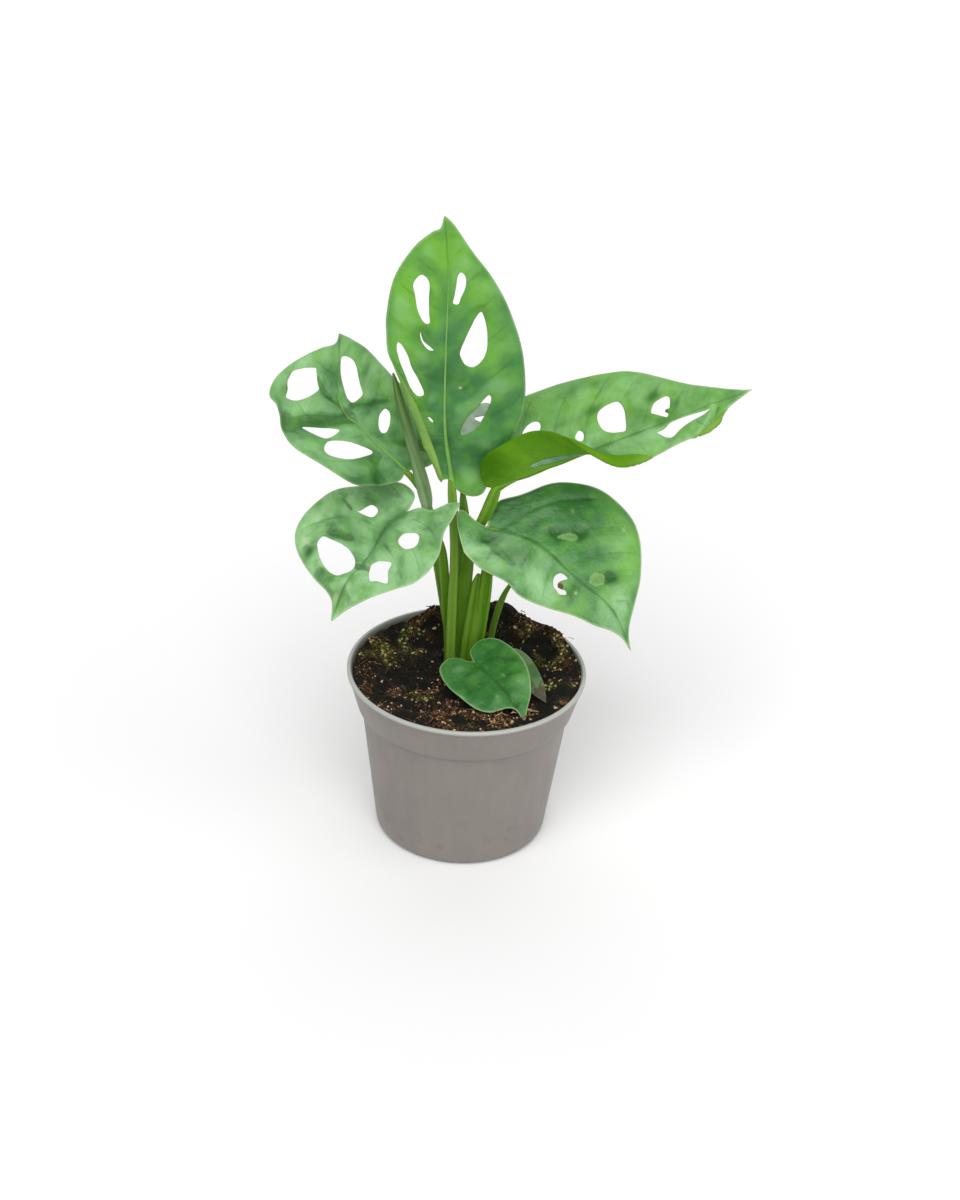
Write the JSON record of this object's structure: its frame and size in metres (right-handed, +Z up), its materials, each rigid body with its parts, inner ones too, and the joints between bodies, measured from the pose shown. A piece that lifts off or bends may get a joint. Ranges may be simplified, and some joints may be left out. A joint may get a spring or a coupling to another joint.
{
  "type": "potted swiss cheese vine",
  "caption": "Young swiss cheese vine with perforated oval leaves on slender petioles, rooted in dark soil in a small tapered grey nursery pot.",
  "frame": {"origin": "middle of the pot's flat underside", "axes": "+Z up through the pot, -Y towards the front where the small heart-shaped leaf points, +X to the right"},
  "size_m": [0.1322, 0.0694, 0.1872],
  "materials": {
    "pot_plastic": "smooth moulded grey plastic",
    "potting_soil": "rough dark peat mix",
    "leaf_blade": "satin green leaf",
    "dull_leaf": "dull grey-green leaf",
    "petiole": "satin yellow-green stem",
    "rolled_leaf": "satin olive-green young leaf"
  },
  "bodies": {
    "root": {"pot": "pot_plastic", "soil": "potting_soil", "leaf_top": "leaf_blade", "leaf_upper_left": "leaf_blade", "leaf_lower_left": "leaf_blade", "leaf_right": "leaf_blade", "leaf_lower_right": "leaf_blade", "leaf_small_front": "leaf_blade", "leaf_small_side": "dull_leaf", "leaf_top_petiole": "petiole", "leaf_upper_left_petiole": "petiole", "leaf_lower_left_petiole": "petiole", "leaf_right_petiole": "petiole", "leaf_lower_right_petiole": "petiole", "leaf_small_front_petiole": "petiole", "leaf_small_side_petiole": "petiole", "side_petiole": "petiole", "new_leaf_rolled": "rolled_leaf"}
  },
  "joints": []
}
